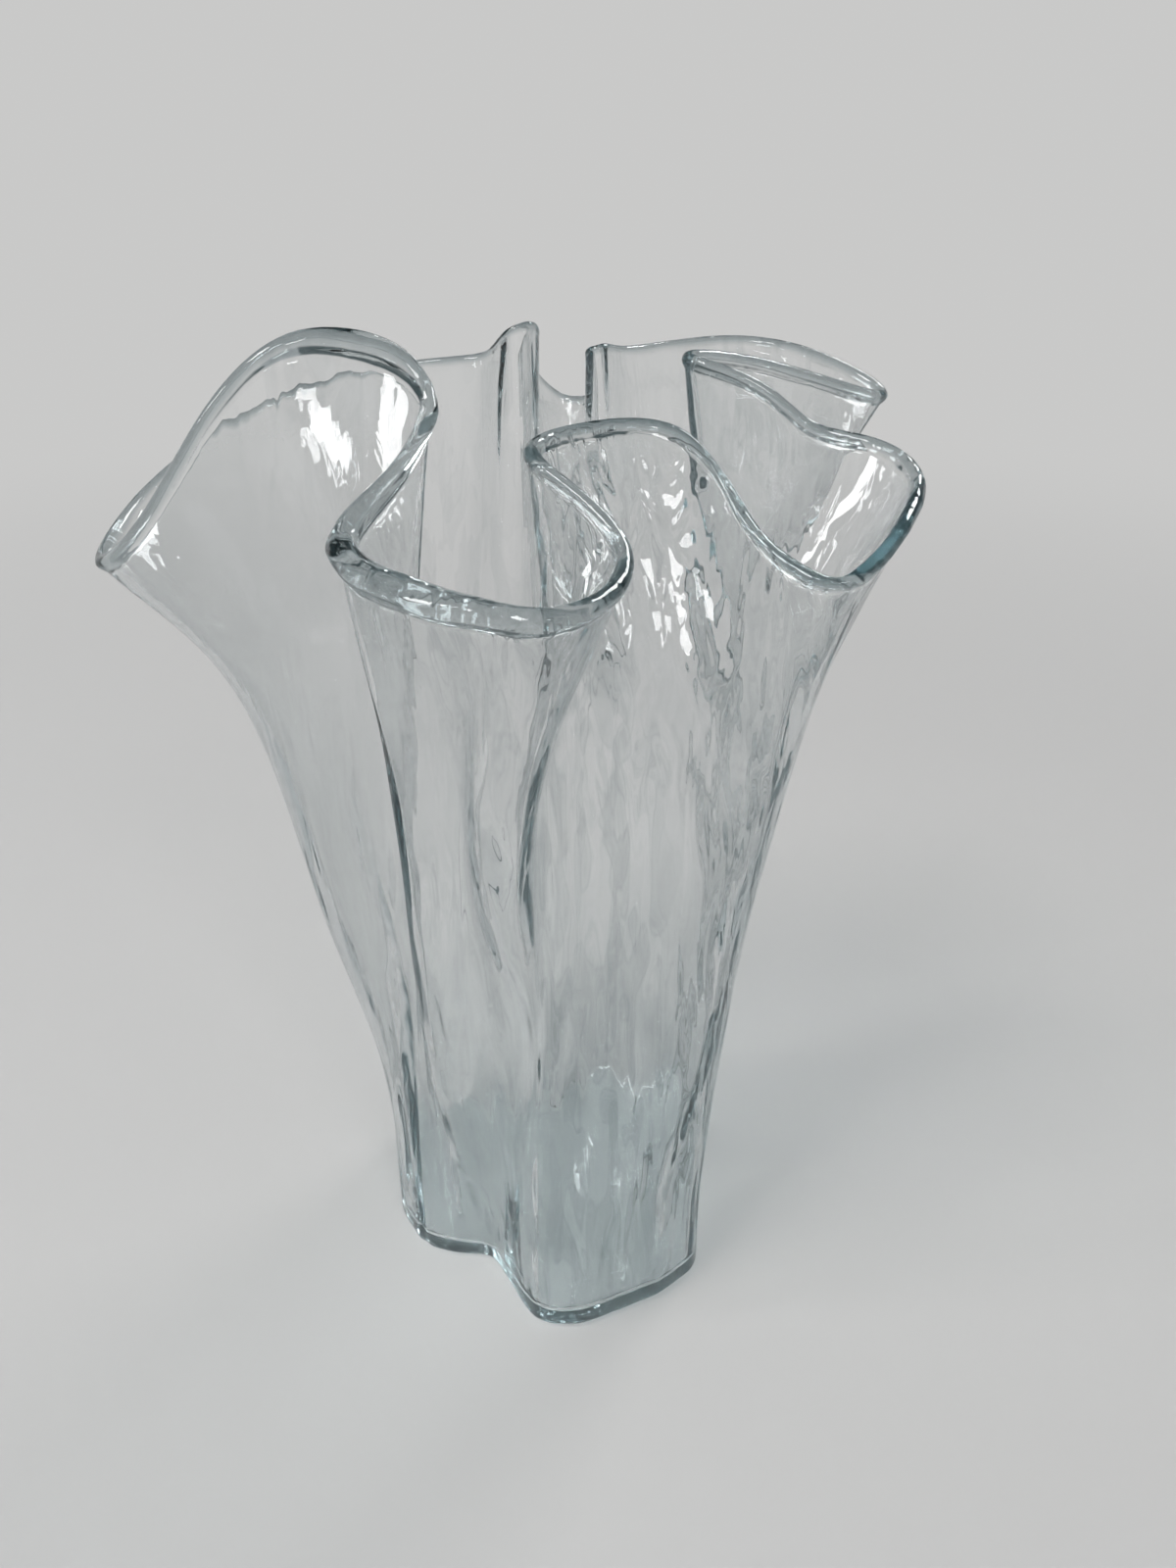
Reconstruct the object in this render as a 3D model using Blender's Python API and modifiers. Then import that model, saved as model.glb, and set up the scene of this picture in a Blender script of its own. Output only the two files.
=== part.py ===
"""Ruffled handkerchief vase, blown in one piece of clear glass.

The foot stands on three squarish arms with a deep notch between each two. The wall
climbs almost straight to its upper waist, then falls outwards into a rim of five
loose lobes, with a tucked-in fold between each two lobes.
Sizes are in millimetres and become metres when the mesh is made.
"""

import bmesh
import bpy
import numpy as np

MM = 0.001

# Glass
WALL = 4.0
FLOOR = 5.0
EDGE_ROUND = 1.8
EDGE_SEGMENTS = 2

# Heights of the three rings between the foot and the rim
SHOULDER_OF_FOOT = 50.0
LOWER_WAIST = 113.0
UPPER_WAIST = 184.0

# How much a waist ring rises and sinks with the rim above it
MEAN_RIM_HEIGHT = 250.0
WAIST_FOLLOWS_RIM = 0.28

# The arms of the foot stand upright, and its notches run out into the wall
ARM_REACH = 56.0
NOTCH_DEPTH = 22.0
ARM_LEAN = 0.08
NOTCH_LEAN = 0.55

# Fineness of the skin
STEPS_PER_RIB = 3
RING_SHARES = (0.0, 0.1, 0.2, 0.33, 0.46, 0.56, 0.66, 0.75, 0.83, 0.9, 0.955, 1.0)
LEVEL_SHARES = (0.0, 0.2, 0.46, 0.75, 1.0)

# One rib for each turn of the rim, counter-clockwise from above, on the outer skin:
# rim (x, y, z), upper waist (x, y), lower waist (x, y), foot (x, y)
RIBS = (
    # left lobe, near side
    ((-121, -4, 226), (-90, 8), (-73, 6), (-57, 6)),
    ((-105, -12, 239), (-83, -6), (-69, -8), (-56, -5)),
    ((-84, -16, 266), (-72, -16), (-63, -16), (-55, -13)),
    ((-63, -12, 283), (-58, -26), (-55, -24), (-52, -19)),
    ((-44, -1, 282), (-46, -33), (-48, -30), (-49, -24)),
    # fold between the left and front lobes
    ((-32, -3, 272), (-40, -35), (-43, -33), (-46, -28)),
    ((-39, -17, 255), (-39, -43), (-40, -38), (-41, -30)),
    # front lobe
    ((-50, -38, 245), (-41, -50), (-39, -46), (-36, -31)),
    ((-37, -61, 241), (-31, -54), (-33, -52), (-30, -31)),
    ((-17, -77, 240), (-22, -56), (-22, -54), (-24, -32)),
    ((-1, -84, 240), (-19, -68), (-13, -57), (-19, -39)),
    ((12, -74, 240), (-7, -71), (-7, -58), (-14, -49)),
    ((18, -52, 244), (-4, -59), (-3, -57), (-8, -57)),
    # fold between the front and right lobes
    ((6, -37, 254), (-1, -50), (4, -54), (0, -59)),
    ((-4, -25, 261), (8, -46), (11, -53), (8, -58)),
    ((8, -9, 263), (20, -46), (21, -50), (19, -53)),
    ((32, -4, 260), (33, -42), (32, -47), (29, -48)),
    ((45, -20, 244), (47, -38), (43, -41), (37, -42)),
    # right lobe
    ((57, -35, 235), (55, -36), (49, -32), (43, -35)),
    ((70, -40, 233), (62, -29), (52, -22), (41, -26)),
    ((85, -24, 240), (65, -17), (54, -12), (36, -16)),
    ((95, 3, 247), (65, -2), (55, 0), (33, -8)),
    ((86, 22, 252), (62, 12), (55, 12), (36, 4)),
    ((70, 31, 255), (56, 22), (54, 22), (46, 14)),
    # fold between the right and back right lobes
    ((54, 33, 266), (51, 29), (56, 29), (50, 22)),
    ((37, 40, 272), (49, 36), (54, 36), (52, 29)),
    # back right lobe
    ((62, 57, 267), (57, 50), (52, 46), (46, 38)),
    ((101, 80, 254), (62, 66), (45, 57), (35, 46)),
    ((86, 98, 262), (53, 77), (34, 65), (24, 52)),
    ((55, 101, 268), (36, 79), (20, 67), (14, 54)),
    ((27, 85, 268), (22, 74), (8, 66), (4, 49)),
    # fold between the back right and back lobes
    ((15, 73, 269), (16, 68), (3, 65), (0, 45)),
    ((10, 67, 269), (11, 66), (-1, 63), (-4, 42)),
    # narrow back lobe
    ((12, 87, 256), (8, 71), (-6, 61), (-8, 38)),
    ((9, 103, 249), (4, 77), (-11, 60), (-12, 36)),
    ((-1, 110, 248), (-3, 79), (-16, 59), (-16, 35)),
    ((-10, 101, 256), (-9, 76), (-20, 58), (-20, 35)),
    ((-12, 84, 266), (-11, 71), (-22, 57), (-24, 36)),
    # fold between the back and left lobes
    ((-9, 70, 275), (-14, 65), (-25, 56), (-27, 38)),
    ((-13, 63, 276), (-19, 62), (-29, 55), (-30, 40)),
    ((-19, 71, 269), (-27, 66), (-34, 56), (-35, 42)),
    # left lobe, far side
    ((-30, 80, 265), (-37, 69), (-42, 56), (-42, 42)),
    ((-58, 86, 261), (-54, 65), (-55, 50), (-50, 37)),
    ((-90, 78, 253), (-71, 52), (-66, 38), (-56, 28)),
    ((-114, 55, 240), (-83, 36), (-72, 25), (-58, 20)),
    ((-124, 25, 230), (-89, 22), (-75, 15), (-58, 13)),
)


def clear_scene():
    for old in list(bpy.data.objects):
        bpy.data.objects.remove(old, do_unlink=True)


def closed_curve(points):
    """A smooth closed curve through the points, with STEPS_PER_RIB places in each span."""
    points = np.asarray(points, float)
    count = len(points)
    after = np.roll(np.eye(count), 1, axis=1)
    slopes = np.linalg.solve(4 * np.eye(count) + after + after.T, 3 * (after - after.T) @ points)
    spans = []
    for step in range(STEPS_PER_RIB):
        f = step / STEPS_PER_RIB
        spans.append(
            (2 * f**3 - 3 * f**2 + 1) * points
            + (f**3 - 2 * f**2 + f) * slopes
            + (3 * f**2 - 2 * f**3) * (after @ points)
            + (f**3 - f**2) * (after @ slopes)
        )
    return np.stack(spans, axis=1).reshape(-1, points.shape[1])


def level_rings():
    """The five rings that the wall passes through: foot, shoulder, both waists and rim."""
    rim_height = np.array([rib[0][2] for rib in RIBS], float)
    follow = 1 + WAIST_FOLLOWS_RIM * (rim_height / MEAN_RIM_HEIGHT - 1)
    rim = closed_curve([rib[0] for rib in RIBS])
    upper = closed_curve([(*rib[1], UPPER_WAIST * k) for rib, k in zip(RIBS, follow)])
    lower = closed_curve([(*rib[2], LOWER_WAIST * k) for rib, k in zip(RIBS, follow)])
    foot = closed_curve([(*rib[3], 0.0) for rib in RIBS])

    notch = np.clip((ARM_REACH - np.hypot(foot[:, 0], foot[:, 1])) / NOTCH_DEPTH, 0, 1)
    lean = ARM_LEAN + NOTCH_LEAN * notch[:, None]
    shoulder = foot + (lower - foot) * lean
    shoulder[:, 2] = SHOULDER_OF_FOOT
    return [foot, shoulder, lower, upper, rim]


def wall_rings():
    """The rings of the outer skin, from the foot to the rim, on a smooth curve up each rib."""
    levels = level_rings()
    shares = LEVEL_SHARES
    rises = [(levels[i + 1] - levels[i]) / (shares[i + 1] - shares[i]) for i in range(4)]
    slopes = [rises[0]]
    for i in (1, 2):
        below = shares[i] - shares[i - 1]
        above = shares[i + 1] - shares[i]
        slopes.append((rises[i - 1] * above + rises[i] * below) / (below + above))
    # The wall keeps its line through the upper waist and opens late, close to the rim
    slopes.append(0.6 * rises[2] + 0.4 * rises[3])
    slopes.append(1.5 * rises[3] - 0.5 * slopes[3])

    rings = []
    for share in RING_SHARES:
        i = min(3, sum(share >= s for s in shares[1:]))
        span = shares[i + 1] - shares[i]
        f = (share - shares[i]) / span
        rings.append(
            (2 * f**3 - 3 * f**2 + 1) * levels[i]
            + (f**3 - 2 * f**2 + f) * span * slopes[i]
            + (3 * f**2 - 2 * f**3) * levels[i + 1]
            + (f**3 - f**2) * span * slopes[i + 1]
        )
    return rings


def glass_material():
    material = bpy.data.materials.new("vase")
    material.use_nodes = True
    shader = material.node_tree.nodes["Principled BSDF"]
    shader.inputs["Base Color"].default_value = (0.86, 0.93, 0.94, 1.0)
    shader.inputs["Roughness"].default_value = 0.03
    shader.inputs["IOR"].default_value = 1.52
    shader.inputs["Transmission Weight"].default_value = 1.0
    return material


def make_vase(collection):
    rings = wall_rings()
    bm = bmesh.new()
    rows = [[bm.verts.new(tuple(p * MM)) for p in ring] for ring in rings]
    around = len(rows[0])
    for lower, upper in zip(rows, rows[1:]):
        for j in range(around):
            k = (j + 1) % around
            bm.faces.new((lower[j], lower[k], upper[k], upper[j]))
    bm.faces.new(list(reversed(rows[0])))
    mesh = bpy.data.meshes.new("vase")
    bm.to_mesh(mesh)
    bm.free()
    mesh.shade_smooth()
    mesh.materials.append(glass_material())
    vase = bpy.data.objects.new("vase", mesh)
    collection.objects.link(vase)

    # The skin is thickened inwards, WALL thick. At the foot it goes inwards and up at
    # 45 degrees, so the floor comes out FLOOR thick
    heel = FLOOR * 2**0.5
    glass = vase.vertex_groups.new(name="glass")
    glass.add(list(range(around)), 1.0, "REPLACE")
    glass.add(list(range(around, around * len(rows))), WALL / heel, "REPLACE")
    shell = vase.modifiers.new("wall and floor", "SOLIDIFY")
    shell.thickness = heel * MM
    shell.offset = -1.0
    shell.vertex_group = "glass"

    # Fire-polished rim and softened foot
    polish = vase.modifiers.new("fire-polished edges", "BEVEL")
    polish.width = EDGE_ROUND * MM
    polish.segments = EDGE_SEGMENTS
    polish.limit_method = "ANGLE"
    polish.angle_limit = np.radians(65)
    polish.harden_normals = False
    return vase


clear_scene()
parts = bpy.data.collections.new("handkerchief_vase")
bpy.context.scene.collection.children.link(parts)
make_vase(parts)
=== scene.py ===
import math

import bpy
import mathutils
import numpy as np
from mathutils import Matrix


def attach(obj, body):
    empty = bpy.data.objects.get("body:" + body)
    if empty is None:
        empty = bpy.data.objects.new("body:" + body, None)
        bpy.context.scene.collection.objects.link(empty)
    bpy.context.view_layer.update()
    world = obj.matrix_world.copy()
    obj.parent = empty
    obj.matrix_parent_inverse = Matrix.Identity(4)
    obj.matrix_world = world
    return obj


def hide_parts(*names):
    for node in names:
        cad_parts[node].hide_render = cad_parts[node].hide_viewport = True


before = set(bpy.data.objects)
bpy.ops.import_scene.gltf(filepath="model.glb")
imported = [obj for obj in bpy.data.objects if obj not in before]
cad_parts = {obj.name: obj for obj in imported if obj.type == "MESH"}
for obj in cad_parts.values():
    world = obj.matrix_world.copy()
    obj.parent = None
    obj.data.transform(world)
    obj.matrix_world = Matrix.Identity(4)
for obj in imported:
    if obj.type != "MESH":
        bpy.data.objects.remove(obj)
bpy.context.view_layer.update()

# ---------------------------------------------------------------- the vase
# One gather of clear soda glass, blown into a three-armed mould, then reheated and shaken
# open so that the rim falls into five loose lobes. The wall thins from about 4 mm at the
# foot to 3 mm below the rim, which is fire-polished to a rounded bead.

MM = 0.001

# One rib for each turn of the rim, counter-clockwise from above, on the outer skin, in mm:
# rim (x, y, z), upper waist (x, y), lower waist (x, y), foot (x, y)
RIBS = (
    # left lobe, near side
    ((-121, -4, 226), (-90, 8), (-73, 6), (-57, 6)),
    ((-105, -12, 239), (-83, -6), (-69, -8), (-56, -5)),
    ((-84, -16, 266), (-72, -16), (-63, -16), (-55, -13)),
    ((-63, -12, 283), (-58, -26), (-55, -24), (-52, -19)),
    ((-44, -1, 282), (-46, -33), (-48, -30), (-49, -24)),
    # fold between the left and front lobes
    ((-32, -3, 272), (-40, -35), (-43, -33), (-46, -28)),
    ((-39, -17, 255), (-39, -43), (-40, -38), (-41, -30)),
    # front lobe
    ((-50, -38, 245), (-41, -50), (-39, -46), (-36, -31)),
    ((-37, -61, 241), (-31, -54), (-33, -52), (-30, -31)),
    ((-17, -77, 240), (-22, -56), (-22, -54), (-24, -32)),
    ((-1, -84, 240), (-19, -68), (-13, -57), (-19, -39)),
    ((12, -74, 240), (-7, -71), (-7, -58), (-14, -49)),
    ((18, -52, 244), (-4, -59), (-3, -57), (-8, -57)),
    # fold between the front and right lobes
    ((6, -37, 254), (-1, -50), (4, -54), (0, -59)),
    ((-4, -25, 261), (8, -46), (11, -53), (8, -58)),
    ((8, -9, 263), (20, -46), (21, -50), (19, -53)),
    ((32, -4, 260), (33, -42), (32, -47), (29, -48)),
    ((45, -20, 244), (47, -38), (43, -41), (37, -42)),
    # right lobe
    ((57, -35, 235), (55, -36), (49, -32), (43, -35)),
    ((70, -40, 233), (62, -29), (52, -22), (41, -26)),
    ((85, -24, 240), (65, -17), (54, -12), (36, -16)),
    ((95, 3, 247), (65, -2), (55, 0), (33, -8)),
    ((86, 22, 252), (62, 12), (55, 12), (36, 4)),
    ((70, 31, 255), (56, 22), (54, 22), (46, 14)),
    # fold between the right and back right lobes
    ((54, 33, 266), (51, 29), (56, 29), (50, 22)),
    ((37, 40, 272), (49, 36), (54, 36), (52, 29)),
    # back right lobe
    ((62, 57, 267), (57, 50), (52, 46), (46, 38)),
    ((101, 80, 254), (62, 66), (45, 57), (35, 46)),
    ((86, 98, 262), (53, 77), (34, 65), (24, 52)),
    ((55, 101, 268), (36, 79), (20, 67), (14, 54)),
    ((27, 85, 268), (22, 74), (8, 66), (4, 49)),
    # fold between the back right and back lobes
    ((15, 73, 269), (16, 68), (3, 65), (0, 45)),
    ((10, 67, 269), (11, 66), (-1, 63), (-4, 42)),
    # narrow back lobe
    ((12, 87, 256), (8, 71), (-6, 61), (-8, 38)),
    ((9, 103, 249), (4, 77), (-11, 60), (-12, 36)),
    ((-1, 110, 248), (-3, 79), (-16, 59), (-16, 35)),
    ((-10, 101, 256), (-9, 76), (-20, 58), (-20, 35)),
    ((-12, 84, 266), (-11, 71), (-22, 57), (-24, 36)),
    # fold between the back and left lobes
    ((-9, 70, 275), (-14, 65), (-25, 56), (-27, 38)),
    ((-13, 63, 276), (-19, 62), (-29, 55), (-30, 40)),
    ((-19, 71, 269), (-27, 66), (-34, 56), (-35, 42)),
    # left lobe, far side
    ((-30, 80, 265), (-37, 69), (-42, 56), (-42, 42)),
    ((-58, 86, 261), (-54, 65), (-55, 50), (-50, 37)),
    ((-90, 78, 253), (-71, 52), (-66, 38), (-56, 28)),
    ((-114, 55, 240), (-83, 36), (-72, 25), (-58, 20)),
    ((-124, 25, 230), (-89, 22), (-75, 15), (-58, 13)),
)

# Heights of the rings between foot and rim, and the share of the way up at each ring
UPPER_WAIST = 184.0
LOWER_WAIST = 113.0
SHOULDER = 50.0
KNOTS = (0.0, 0.2, 0.46, 0.75, 1.0)

# Below a high stretch of rim the waist rings are a little higher too
MEAN_RIM = 250.0
WAIST_FOLLOW = 0.28

# The shoulder lies a little outside the foot, and much further out above its notches
SHOULDER_OUT = 0.08
NOTCH_OUT = 0.55
NOTCH_FROM = 56.0
NOTCH_DEPTH = 22.0

# Places round the rim, counted in ribs
LEFT_LOBE = 0.0
TIGHT_FOLD = 4.95
FLAP = 7.0
RIGHT_FOLD = 17.5
RIGHT_CORNER = 17.8
FAR_SIDE = 27.0

# Wall, floor and foot, and the low rise in the middle of the floor
WALL_AT_RIM = 2.7
WALL_AT_FOOT = 3.8
FLOOR = 3.8
HEEL_RADIUS = 3.6
FOOT_RADIUS = 2.6
FOOT_ROUND_HEIGHT = 3.2
FOOT_CENTRE = (2.0, 0.0)
LENS_RISE = 1.1
LENS_RADIUS = 14.0

# The bead at the rim: its width, what the flap has more and the far side less, how
# uneven and how twisted it is, and how much flatter it lies in the tight fold
BEAD = 4.2
HEAVY_BEAD = 3.7
THIN_BEAD = 1.2
FINE_ROPE = 0.35
BROAD_ROPE = 0.25
TWIST = 0.19
PINCH = 1.0

# Waves of the wall in mm: the slow one of both faces, then the streaks of each face
SLOW_WAVE = 0.9
OUTER_STREAKS = 0.45
INNER_STREAKS = 0.55

# How rippled the wall is, from 0 to 1, how much less so at the left lobe and more so at
# the right fold, the parts of the way up in which the waves fade at the foot and towards
# the rim, and the share of them that is left at the rim
RIPPLED = 0.62
CALMER = 0.34
LIVELIER = 0.38
FADE_AT_FOOT = 0.06
FADE_AT_RIM = 0.05
WAVES_AT_RIM = 0.25

# Columns, rows below the bead, and how far from the rim the rows of the bead lie
COLUMNS = 430
WALL_ROWS = 80
NEAR_RIM = (
    13.0, 10.5, 8.6, 7.2, 6.1, 5.2, 4.4, 3.6, 2.9, 2.2, 1.6, 1.1, 0.7, 0.38, 0.15, 0.03, 0.0,
)

# How a face is pulled tight where it would cross itself in a sharp corner: steps
# shorter than this share of the skin's own step are evened out, this many times
LEAST_STEP = 0.45
TIGHTENINGS = 150


def closed_curve(points, spots):
    """Smooth closed curve through the points, at spots counted in points: 2.5 is half way
    from point 2 to point 3."""
    points = np.asarray(points, float)
    count = len(points)
    after = np.roll(np.eye(count), 1, axis=1)
    slopes = np.linalg.solve(4 * np.eye(count) + after + after.T, 3 * (after - after.T) @ points)
    i = np.floor(spots).astype(int) % count
    k = (i + 1) % count
    f = (spots - np.floor(spots))[:, None]
    return (
        (2 * f**3 - 3 * f**2 + 1) * points[i]
        + (f**3 - 2 * f**2 + f) * slopes[i]
        + (3 * f**2 - 2 * f**3) * points[k]
        + (f**3 - f**2) * slopes[k]
    )


def column_places():
    """Where the columns stand, in ribs: closer together where the rim or the waist turns."""
    per_rib = 40
    usual_gap = 2.2
    usual_turn = math.radians(11)
    reach = 30
    softness = 12
    spots = np.arange(0, len(RIBS), 1 / per_rib)
    crowding = 0
    for level in (0, 1):
        curve = closed_curve([rib[level] for rib in RIBS], spots)
        step = np.roll(curve, -1, axis=0) - curve
        length = np.linalg.norm(step, axis=1)
        way = np.arctan2(step[:, 1], step[:, 0])
        turn = np.abs((np.roll(way, -1) - way + np.pi) % (2 * np.pi) - np.pi)
        crowding = crowding + length / usual_gap + turn / usual_turn
    near = np.exp(-((np.arange(-reach, reach + 1) / softness) ** 2))
    crowding = np.concatenate([crowding[-reach:], crowding, crowding[:reach]])
    crowding = np.convolve(crowding, near, "valid")
    so_far = np.concatenate([[0], np.cumsum(crowding)])
    stops = np.arange(COLUMNS) / COLUMNS * so_far[-1]
    return np.interp(stops, so_far, np.arange(len(spots) + 1) / per_rib)


def climbing_levels():
    """The five rings that the wall passes through, and its slope at each of them."""
    follow = [1 + WAIST_FOLLOW * (rib[0][2] / MEAN_RIM - 1) for rib in RIBS]
    rim = closed_curve([rib[0] for rib in RIBS], places)
    upper = closed_curve([(*rib[1], UPPER_WAIST * k) for rib, k in zip(RIBS, follow)], places)
    lower = closed_curve([(*rib[2], LOWER_WAIST * k) for rib, k in zip(RIBS, follow)], places)
    foot = closed_curve([(*rib[3], 0.0) for rib in RIBS], places)
    notch = np.clip((NOTCH_FROM - np.hypot(foot[:, 0], foot[:, 1])) / NOTCH_DEPTH, 0, 1)
    shoulder = foot + (lower - foot) * (SHOULDER_OUT + NOTCH_OUT * notch[:, None])
    shoulder[:, 2] = SHOULDER
    levels = np.stack([foot, shoulder, lower, upper, rim])
    gaps = np.diff(KNOTS)
    rises = np.diff(levels, axis=0) / gaps[:, None, None]
    slopes = [rises[0]]
    for i in (1, 2):
        mean = (rises[i - 1] * gaps[i] + rises[i] * gaps[i - 1]) / (gaps[i - 1] + gaps[i])
        slopes.append(mean)
    slopes.append(0.6 * rises[2] + 0.4 * rises[3])
    slopes.append(1.5 * rises[3] - 0.5 * slopes[3])
    return levels, np.stack(slopes)


def up_the_wall(levels, slopes, share):
    """Points of the outer skin. share holds one height share for each column of each row."""
    i = np.clip(np.searchsorted(KNOTS, share, side="right") - 1, 0, len(KNOTS) - 2)
    knots = np.array(KNOTS)
    span = knots[i + 1] - knots[i]
    f = ((share - knots[i]) / span)[..., None]
    column = np.broadcast_to(np.arange(COLUMNS), share.shape)
    span = span[..., None]
    return (
        (2 * f**3 - 3 * f**2 + 1) * levels[i, column]
        + (f**3 - 2 * f**2 + f) * span * slopes[i, column]
        + (3 * f**2 - 2 * f**3) * levels[i + 1, column]
        + (f**3 - f**2) * span * slopes[i + 1, column]
    )


def skin_normals(points):
    along = np.roll(points, -1, axis=1) - np.roll(points, 1, axis=1)
    up = np.gradient(points, axis=0)
    normals = np.cross(along, up)
    return normals / np.linalg.norm(normals, axis=2, keepdims=True)


def untangled(surface, skin):
    """The surface pulled tight along its rows where it doubles back against its skin."""
    ahead = np.roll(skin, -1, axis=1) - skin
    for _ in range(TIGHTENINGS):
        step = np.roll(surface, -1, axis=1) - surface
        short = (step * ahead).sum(axis=2) < LEAST_STEP * (ahead * ahead).sum(axis=2)
        loose = short | np.roll(short, 1, axis=1)
        loose = loose | np.roll(loose, 1, axis=1) | np.roll(loose, -1, axis=1)
        halfway = (np.roll(surface, 1, axis=1) + np.roll(surface, -1, axis=1)) / 2
        surface = np.where(loose[..., None], (surface + halfway) / 2, surface)
    return surface


def near_place(place, reach, power=2):
    """1 in the columns at a place round the rim, falling to 0 outside its reach in ribs, with
    a flat top where the power is 4."""
    half_turn = len(RIBS) / 2
    off = (places - place + half_turn) % len(RIBS) - half_turn
    return np.exp(-((np.abs(off) / reach) ** power))


def soft_step(x):
    x = np.clip(x, 0, 1)
    return x * x * (3 - 2 * x)


def blend_weights(f):
    """Weights of four neighbours in a row for a smooth curve that passes between them."""
    return np.stack(
        [(1 - f) ** 3, 3 * f**3 - 6 * f**2 + 4, -3 * f**3 + 3 * f**2 + 3 * f + 1, f**3]
    ) / 6


def ripples(seed, across, along):
    """Soft closed waves of the wall, up to about 1 high, in so many cells round it and up it."""
    gain = 1.8
    rng = np.random.default_rng(seed)
    cells = rng.uniform(-1, 1, (along + 3, across))
    u = around * across
    v = np.clip(share, 0, 1) * along
    iu = np.floor(u).astype(int)
    iv = np.minimum(np.floor(v).astype(int), along - 1)
    wu = blend_weights(u - iu)
    wv = blend_weights(v - iv)
    field = np.zeros(share.shape)
    for a in range(4):
        for b in range(4):
            field += wv[a] * wu[b][None, :] * cells[iv + a, (iu + b - 1)[None, :] % across]
    return gain * field


# The skin: rows evenly up the wall, then closer and closer together to the rim
places = column_places()
levels, slopes = climbing_levels()
rim_speed = np.linalg.norm(slopes[4], axis=1)
top_share = 1 - NEAR_RIM[0] / rim_speed
low = np.linspace(0.0, 1.0, WALL_ROWS)[:, None] * top_share[None, :]
high = 1 - np.array(NEAR_RIM[1:])[:, None] / rim_speed[None, :]
share = np.vstack([low, high])
from_rim = (1 - share) * rim_speed[None, :]
skin = up_the_wall(levels, slopes, share)
normals = skin_normals(skin)
girth = np.linalg.norm(np.roll(levels[3:], -1, axis=1) - levels[3:], axis=2).sum(axis=0)
around = np.cumsum(girth) / girth.sum()

# The left lobe's wall is the smoothest, and round the right fold it is the most rippled
calm = near_place(LEFT_LOBE, 5.0, 4)
lively = near_place(RIGHT_FOLD, 5.0, 4)
rippled = (RIPPLED - CALMER * calm + LIVELIER * lively)[None, :] * np.ones(share.shape)
# Where the streaks get painted shade in the glass's colour, in place of dark streaks of the room
# seen through the wall
streak_shading = rippled * np.clip(0.42 + 1.2 * ripples(41, 26, 6), 0.05, 1)

# Slow unevenness of the whole wall, which in the tight fold turns more gently
fade = np.clip(share / FADE_AT_FOOT, 0, 1) * np.clip((1 - share) / FADE_AT_RIM, WAVES_AT_RIM, 1)
skin = skin + normals * (SLOW_WAVE * ripples(3, 24, 4) * fade)[..., None]
normals = skin_normals(skin)
eased = sum(np.roll(normals, k, axis=1) for k in range(-3, 4)) / 7
normals = normals + near_place(TIGHT_FOLD, 0.7)[None, :, None] * (eased - normals)

# The streaks that each face has of its own, broad ones and fine ones
outside_waves = OUTER_STREAKS * fade * (ripples(11, 52, 7) + rippled * ripples(12, 150, 15))
inside_waves = INNER_STREAKS * fade * (ripples(21, 46, 7) + rippled * ripples(22, 130, 17))

# Half the thickness: an even wall that swells into the bead and closes over the rim
heavy = near_place(FLAP, 3.7, 4)
far_side = np.clip((places - FAR_SIDE) / 3, 0, 1) * np.clip((len(RIBS) - places) / 2, 0, 1)
rope = FINE_ROPE * ripples(31, 170, 2)[-1] + BROAD_ROPE * ripples(32, 60, 2)[-1]
bead = (BEAD + HEAVY_BEAD * heavy - THIN_BEAD * far_side + rope)[None, :] / 2
wall = (WALL_AT_RIM + (WALL_AT_FOOT - WALL_AT_RIM) * (1 - share)) / 2
half = wall + (bead - wall) * soft_step(1 - (from_rim - bead) / (0.9 * bead + 1.0))
tip = np.sqrt(np.clip(bead**2 - (bead - from_rim) ** 2, 0, None))
half = np.where(from_rim < bead, tip, half)
middle = skin - normals * wall[..., None]

# Slanting marks that run along the bead, as if it had been twisted while it was soft
on_bead = np.clip(1 - from_rim / (1.6 * bead), 0, 1) * np.clip(half / 1.5, 0, 1)
slant = np.cumsum(girth)[None, :]
twist = np.sin(slant / 6.5 + from_rim / 0.8) + 0.7 * np.sin(slant / 9.5 + from_rim / 1.3 + 2.0)
twist = TWIST * twist * on_bead * (0.6 + 1.1 * heavy)[None, :]

# The two faces
pinch = 1 - PINCH * near_place(TIGHT_FOLD, 0.55)[None, :]
half_outside = np.where(half > wall, wall + (half - wall) * pinch, half * (0.5 + 0.5 * pinch))
outwards = half_outside + outside_waves * (half > 1) + twist * pinch
inwards = half + inside_waves * (half > 1) - twist
outside = untangled(middle + normals * outwards[..., None], skin)
inside = untangled(middle - normals * inwards[..., None], skin)

# The foot: a rounded outer edge and a flat underside, and inside it a rounded corner
flat = normals[0] * (1, 1, 0)
flat /= np.linalg.norm(flat, axis=1, keepdims=True)


def quarter(edge, depth, height, low_z, steps):
    """Rings round a corner between the wall and a floor: from the wall down on to the floor."""
    rings = []
    for k in range(steps + 1):
        a = 0.5 * math.pi * k / steps
        ring = edge - flat * depth * (1 - math.cos(a))
        ring[:, 2] = low_z + height * (1 - math.sin(a))
        rings.append(ring)
    return list(untangled(np.stack(rings), np.stack([skin[0]] * len(rings))))


def first_row_above(surface, z):
    return int(np.argmax(surface[..., 2].min(axis=1) > z))


def towards_centre(ring, steps):
    """Ever smaller rings inside a ring, at the height of its points."""
    centre = np.array([*FOOT_CENTRE, 0.0])
    rings = []
    for k in range(1, steps):
        s = (1 - k / steps) ** 0.8
        rings.append(centre * (1 - s) + ring * (s, s, 1))
    return rings


start = first_row_above(outside, FOOT_ROUND_HEIGHT + 0.4)
outer_corner = quarter(outside[start] * (1, 1, 0), FOOT_RADIUS, FOOT_ROUND_HEIGHT, 0.0, 9)
underside = towards_centre(outer_corner[-1], 9)

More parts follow.
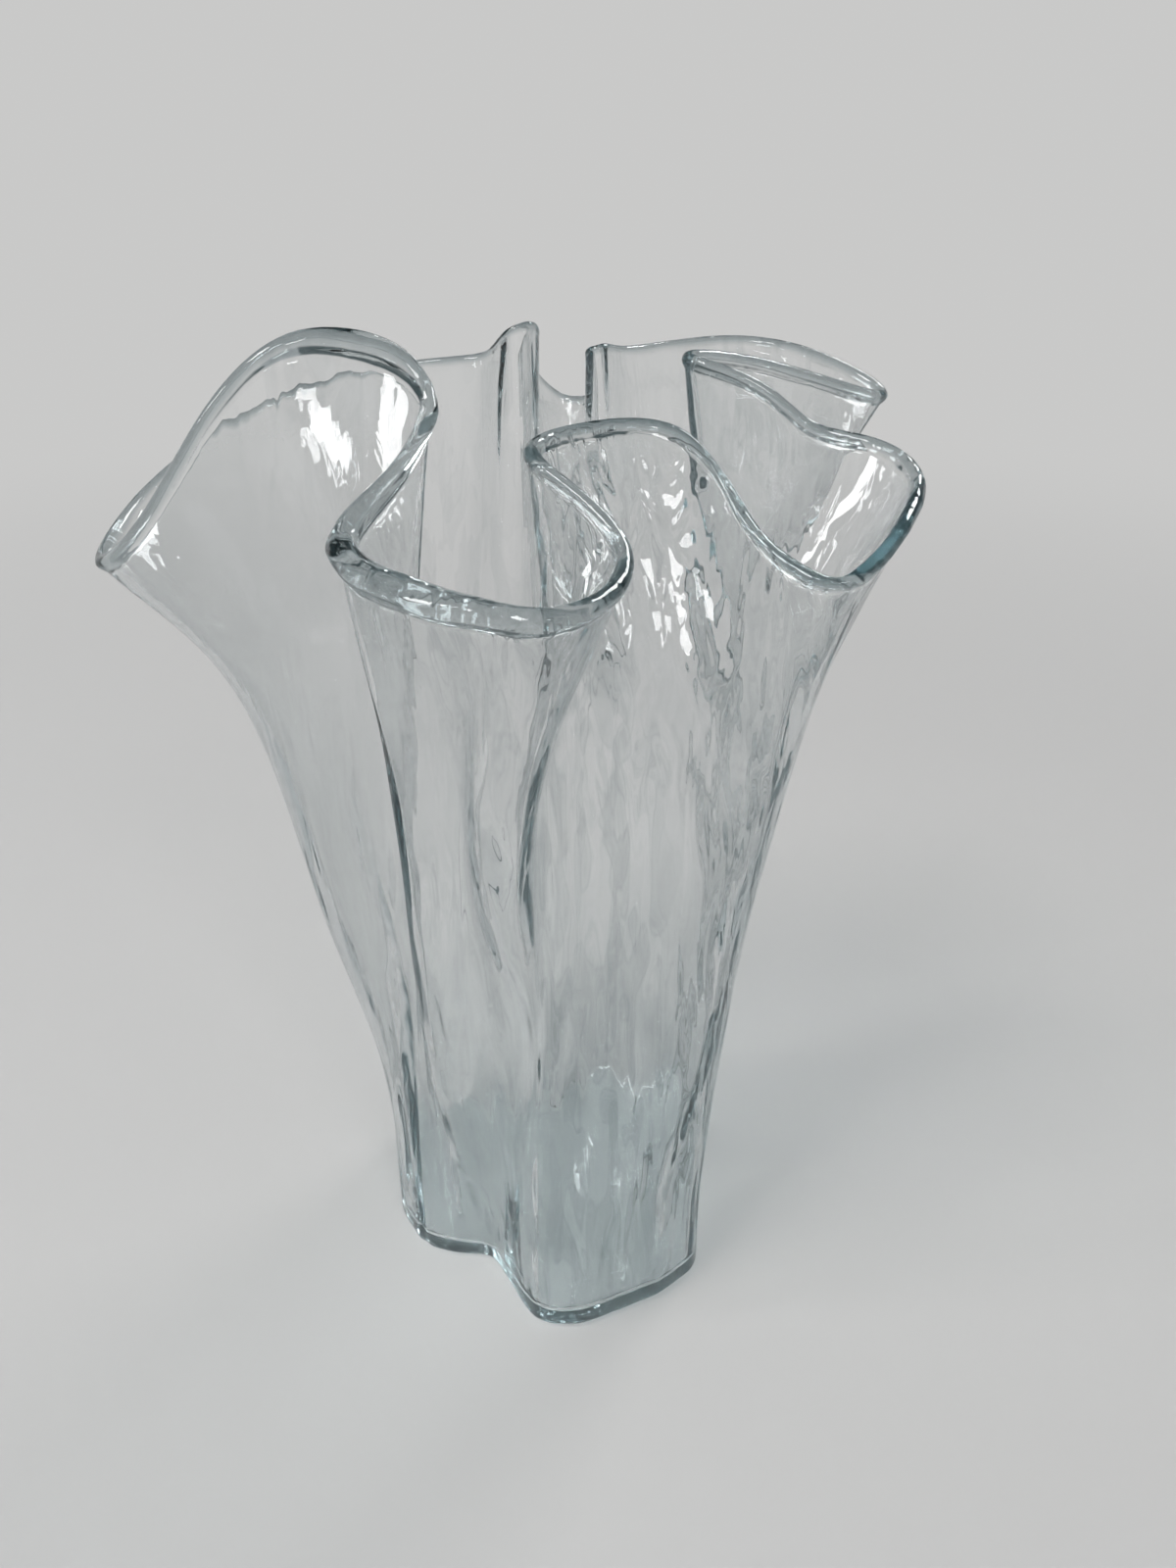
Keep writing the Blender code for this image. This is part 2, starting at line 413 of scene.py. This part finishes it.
start_in = first_row_above(inside, FLOOR + HEEL_RADIUS + 1)
inner_corner = quarter(inside[start_in] * (1, 1, 0), HEEL_RADIUS, HEEL_RADIUS, FLOOR, 7)
well = towards_centre(inner_corner[-1], 12)
for ring in well:
    from_middle = np.hypot(ring[:, 0] - FOOT_CENTRE[0], ring[:, 1] - FOOT_CENTRE[1])
    ring[:, 2] += LENS_RISE * np.exp(-((from_middle / LENS_RADIUS) ** 2))

# One closed skin: from the middle of the underside up the outer face, over the rim and
# down the inner face to the middle of the floor
rings = (
    list(reversed(underside))
    + list(reversed(outer_corner))
    + list(outside[start:-1])
    + [middle[-1]]
    + list(reversed(inside[start_in:-1]))
    + inner_corner
    + well
)
points = np.concatenate(rings) * MM
poles = np.array([(*FOOT_CENTRE, 0.0), (*FOOT_CENTRE, FLOOR + LENS_RISE)]) * MM
last = (len(rings) - 1) * COLUMNS
south = len(points)
north = south + 1
faces = []
for lower in range(0, last, COLUMNS):
    upper = lower + COLUMNS
    for j in range(COLUMNS):
        k = (j + 1) % COLUMNS
        faces.append((lower + j, lower + k, upper + k, upper + j))
for j in range(COLUMNS):
    k = (j + 1) % COLUMNS
    faces.append((south, k, j))
    faces.append((last + j, last + k, north))

mesh = bpy.data.meshes.new("ruffled_vase")
mesh.from_pydata(np.vstack([points, poles]).tolist(), [], faces)
mesh.update()
mesh.shade_smooth()
vase = bpy.data.objects.new("ruffled_vase", mesh)
bpy.context.scene.collection.objects.link(vase)

# How much the bead's colour is darkened, most at the right lobe's sharp corner: partly the
# deeper tint of its thicker glass, partly painted shade for the dark room it would show
shade_in_bead = soft_step(1.35 - from_rim / (1.5 * bead))
shade_in_bead = shade_in_bead * (0.62 + 0.38 * near_place(RIGHT_CORNER, 2.4))[None, :]


def mark_points(name, field, in_foot):
    """A number for each point, from a field over the wall and one number for the foot."""
    below = (len(underside) + len(outer_corner)) * COLUMNS
    above = (len(inner_corner) + len(well)) * COLUMNS + len(poles)
    values = np.concatenate(
        [np.full(below, in_foot)]
        + list(field[start:])
        + list(reversed(field[start_in:-1]))
        + [np.full(above, in_foot)]
    )
    mesh.attributes.new(name, "FLOAT", "POINT").data.foreach_set("value", values)


# Marks for the painted shade of the bead and of the streaks, and for how rippled the wall is
mark_points("bead_shading", shade_in_bead, 0.0)
mark_points("rippled", rippled, 0.3)
mark_points("streak_shading", streak_shading, 0.1)

# Clear soda glass. Its colour carries painted shade, a cool grey edge on, in the streaks and in
# the bead.
EDGE_SHADE = (0.07, 0.15, 0.17)
STREAK_SHADE = (0.62, 0.66, 0.67)
BEAD_SHADE = (0.27, 0.36, 0.38)
DEPTH_TINT = (0.50, 0.62, 0.645)
SHADOW = (0.93, 0.94, 0.94)
EDGE_SHADOW = (0.35, 0.40, 0.41)
WHITE = (1.0, 1.0, 1.0)

glass = bpy.data.materials.new("clear_glass")
glass.use_nodes = True
tree = glass.node_tree
shader = tree.nodes["Principled BSDF"]
output = tree.nodes["Material Output"]
shader.inputs["Roughness"].default_value = 0.0
shader.inputs["IOR"].default_value = 1.52
shader.inputs["Transmission Weight"].default_value = 1.0


def ramp(tree, value, start, end, top=1.0):
    """A soft step from 0 where a value is start to top where it is end."""
    node = tree.nodes.new("ShaderNodeMapRange")
    node.interpolation_type = "SMOOTHSTEP"
    node.inputs["From Min"].default_value = start
    node.inputs["From Max"].default_value = end
    node.inputs["To Max"].default_value = top
    tree.links.new(value, node.inputs["Value"])
    return node.outputs["Result"]


def sum_of(tree, operation, *terms):
    """A Math node. Each term is another node's output or a plain number."""
    node = tree.nodes.new("ShaderNodeMath")
    node.operation = operation
    for socket, term in zip(node.inputs, terms):
        if isinstance(term, float):
            socket.default_value = term
        else:
            tree.links.new(term, socket)
    return node.outputs["Value"]


def tinted(tree, factor, colour, tint, blend_type):
    """A colour turned to a tint, or multiplied by it, by a factor."""
    node = tree.nodes.new("ShaderNodeMix")
    node.data_type = "RGBA"
    node.blend_type = blend_type
    node.inputs["B"].default_value = (*tint, 1.0)
    tree.links.new(factor, node.inputs["Factor"])
    if isinstance(colour, tuple):
        node.inputs["A"].default_value = (*colour, 1.0)
    else:
        tree.links.new(colour, node.inputs["A"])
    return node.outputs["Result"]


def either(tree, factor, first, second):
    """A shader that turns from the first to the second by a factor."""
    node = tree.nodes.new("ShaderNodeMixShader")
    tree.links.new(factor, node.inputs["Fac"])
    tree.links.new(first, node.inputs[1])
    tree.links.new(second, node.inputs[2])
    return node.outputs["Shader"]


def marked(name):
    node = tree.nodes.new("ShaderNodeAttribute")
    node.attribute_name = name
    return node.outputs["Fac"]


# Fine upright streaks, which bend the light a little and also place painted shade in the colour
place = tree.nodes.new("ShaderNodeTexCoord")
upright = tree.nodes.new("ShaderNodeMapping")
upright.inputs["Scale"].default_value = (1.0, 1.0, 0.17)
tree.links.new(place.outputs["Object"], upright.inputs["Vector"])
fine = tree.nodes.new("ShaderNodeTexNoise")
fine.inputs["Scale"].default_value = 175.0
fine.inputs["Detail"].default_value = 0.8
fine.inputs["Distortion"].default_value = 0.6
tree.links.new(upright.outputs["Vector"], fine.inputs["Vector"])
bump = tree.nodes.new("ShaderNodeBump")
bump.inputs["Distance"].default_value = 0.0007
tree.links.new(fine.outputs["Fac"], bump.inputs["Height"])
tree.links.new(marked("rippled"), bump.inputs["Strength"])
tree.links.new(bump.outputs["Normal"], shader.inputs["Normal"])

# Painted shade: the colour turns grey where the glass is seen edge on, in soft patches and thin
# lines of the streaks, and in the bead, in place of the dark room it would show there
grazing = tree.nodes.new("ShaderNodeLayerWeight")
grazing.inputs["Blend"].default_value = 0.16
tree.links.new(bump.outputs["Normal"], grazing.inputs["Normal"])
patches = ramp(tree, fine.outputs["Fac"], 0.50, 0.60)
from_line = sum_of(tree, "ABSOLUTE", sum_of(tree, "SUBTRACT", fine.outputs["Fac"], 0.53))
thin_lines = ramp(tree, from_line, 0.03, 0.0, 0.5)
all_painted_streaks = sum_of(tree, "MULTIPLY_ADD", patches, 0.5, thin_lines)
painted_streaks = sum_of(tree, "MULTIPLY", all_painted_streaks, marked("streak_shading"))
colour = tinted(tree, grazing.outputs["Facing"], WHITE, EDGE_SHADE, "MIX")
colour = tinted(tree, painted_streaks, colour, STREAK_SHADE, "MULTIPLY")
colour = tinted(tree, marked("bead_shading"), colour, BEAD_SHADE, "MULTIPLY")
tree.links.new(colour, shader.inputs["Base Color"])

# Thick glass takes a little of the light on its way through
absorb = tree.nodes.new("ShaderNodeVolumeAbsorption")
absorb.inputs["Color"].default_value = (*DEPTH_TINT, 1.0)
absorb.inputs["Density"].default_value = 19.0
tree.links.new(absorb.outputs["Volume"], output.inputs["Volume"])

# The shadow is as pale as clear glass casts it, and a little darker under its edges
path = tree.nodes.new("ShaderNodeLightPath")
edge_on = tree.nodes.new("ShaderNodeLayerWeight")
edge_on.inputs["Blend"].default_value = 0.35
clear = tree.nodes.new("ShaderNodeBsdfTransparent")
let_through = tinted(tree, edge_on.outputs["Facing"], SHADOW, EDGE_SHADOW, "MIX")
tree.links.new(let_through, clear.inputs["Color"])
surface = either(
    tree, path.outputs["Is Shadow Ray"], shader.outputs["BSDF"], clear.outputs["BSDF"]
)
tree.links.new(surface, output.inputs["Surface"])

mesh.materials.append(glass)
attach(vase, "root")
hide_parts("vase")

# ---------------------------------------------------------------- floor
# Plain pale studio floor of matt paper. From 30 cm outwards it runs out into the same
# pale tone as the room.

FLOOR_TONE = (0.505, 0.505, 0.50)
ROOM_TONE = (0.585, 0.585, 0.58)

bpy.ops.mesh.primitive_circle_add(
    vertices=96, radius=6.0, fill_type="NGON", location=(0, 0, -0.0002)
)
floor = bpy.context.object
floor.name = "floor"
paper = bpy.data.materials.new("paper_floor")
paper.use_nodes = True
tree = paper.node_tree
shader = tree.nodes["Principled BSDF"]
output = tree.nodes["Material Output"]
shader.inputs["Base Color"].default_value = (*FLOOR_TONE, 1.0)
shader.inputs["Roughness"].default_value = 0.9
shader.inputs["Specular IOR Level"].default_value = 0.0
glow = tree.nodes.new("ShaderNodeEmission")
glow.inputs["Color"].default_value = (*ROOM_TONE, 1.0)
place = tree.nodes.new("ShaderNodeTexCoord")
far = tree.nodes.new("ShaderNodeVectorMath")
far.operation = "LENGTH"
tree.links.new(place.outputs["Object"], far.inputs[0])
fading = ramp(tree, far.outputs["Value"], 0.3, 1.3)
surface = either(tree, fading, shader.outputs["BSDF"], glow.outputs["Emission"])
tree.links.new(surface, output.inputs["Surface"])
floor.data.materials.append(paper)

# ---------------------------------------------------------------- light
# A pale studio. Straight on, the camera sees the room's tone, and the floor gets an even
# fill. What the glass reflects and bends is a dark ceiling with upright light panels
# above a pale horizon. Four lamps: a big soft box up to the left, a smaller one behind to
# the right, and two small windows that put the bright glints on the lobes.

CEILING = (0.085, 0.11, 0.115)
PANEL = (0.36, 0.39, 0.40)
FILL = (0.34, 0.34, 0.345)
PANELS = 7.0
FIRST_PANEL = 0.6

world = bpy.data.worlds.new("room")
bpy.context.scene.world = world
world.use_nodes = True
tree = world.node_tree
output = tree.nodes["World Output"]
back = tree.nodes["Background"]
back.inputs["Color"].default_value = (*ROOM_TONE, 1.0)
back.inputs["Strength"].default_value = 1.0
room = back.outputs["Background"]


def tone(colour):
    node = tree.nodes.new("ShaderNodeBackground")
    node.inputs["Color"].default_value = (*colour, 1.0)
    node.inputs["Strength"].default_value = 1.0
    return node.outputs["Background"]


place = tree.nodes.new("ShaderNodeTexCoord")
ways = tree.nodes.new("ShaderNodeSeparateXYZ")
tree.links.new(place.outputs["Generated"], ways.inputs["Vector"])
above_horizon = ramp(tree, ways.outputs["Z"], 0.10, 0.30)
below_ceiling = ramp(tree, ways.outputs["Z"], 0.78, 0.70)
turn = sum_of(tree, "ARCTAN2", ways.outputs["Y"], ways.outputs["X"])
wave = sum_of(tree, "SINE", sum_of(tree, "MULTIPLY_ADD", turn, PANELS, FIRST_PANEL))
lit = sum_of(tree, "MULTIPLY", ramp(tree, wave, 0.45, 0.7), below_ceiling)
overhead = either(tree, lit, tone(CEILING), tone(PANEL))
in_glass = either(tree, above_horizon, room, overhead)
path = tree.nodes.new("ShaderNodeLightPath")
on_floor = either(tree, path.outputs["Is Diffuse Ray"], in_glass, tone(FILL))
behind = either(tree, path.outputs["Is Camera Ray"], on_floor, room)
tree.links.new(behind, output.inputs["Surface"])

# Name, place and what it is aimed at in m, width and height in m, watts
LAMPS = (
    ("key_box", (-1.2, -0.9, 2.4), (0, 0, 0.12), 1.1, 0.8, 42),
    ("back_box", (1.3, 1.7, 2.0), (0, 0, 0.15), 0.9, 0.6, 20),
    ("front_window", (0.69, -1.65, 1.51), (0, 0, 0.2), 0.55, 0.4, 8),
    ("left_window", (-2.0, -0.3, 1.1), (0, 0, 0.2), 0.35, 0.6, 9),
)
for name, spot, aim, width, height, watts in LAMPS:
    lamp = bpy.data.lights.new(name, "AREA")
    lamp.shape = "RECTANGLE"
    lamp.size = width
    lamp.size_y = height
    lamp.energy = watts
    box = bpy.data.objects.new(name, lamp)
    box.location = spot
    aimed = mathutils.Vector(aim) - mathutils.Vector(spot)
    box.rotation_euler = aimed.to_track_quat("-Z", "Y").to_euler()
    bpy.context.scene.collection.objects.link(box)

# ---------------------------------------------------------------- camera
# Where the photograph was taken from: about 35 cm from the vase's middle, looking down.

PITCH_DOWN = 27.7

lens = bpy.data.cameras.new("camera")
lens.sensor_fit = "AUTO"
lens.sensor_width = 36.0
lens.lens = 27.9
camera = bpy.data.objects.new("camera", lens)
camera.location = (0.008, -0.312, 0.322)
camera.rotation_euler = (math.radians(90 - PITCH_DOWN), 0, 0)
bpy.context.scene.collection.objects.link(camera)
bpy.context.scene.camera = camera

# Light crosses many faces of clear glass on its way, so it may bounce often
scene = bpy.context.scene
scene.view_settings.view_transform = "Standard"
scene.cycles.max_bounces = 40
scene.cycles.transmission_bounces = 40
scene.cycles.glossy_bounces = 40
scene.cycles.transparent_max_bounces = 24
scene.cycles.adaptive_threshold = 0.2
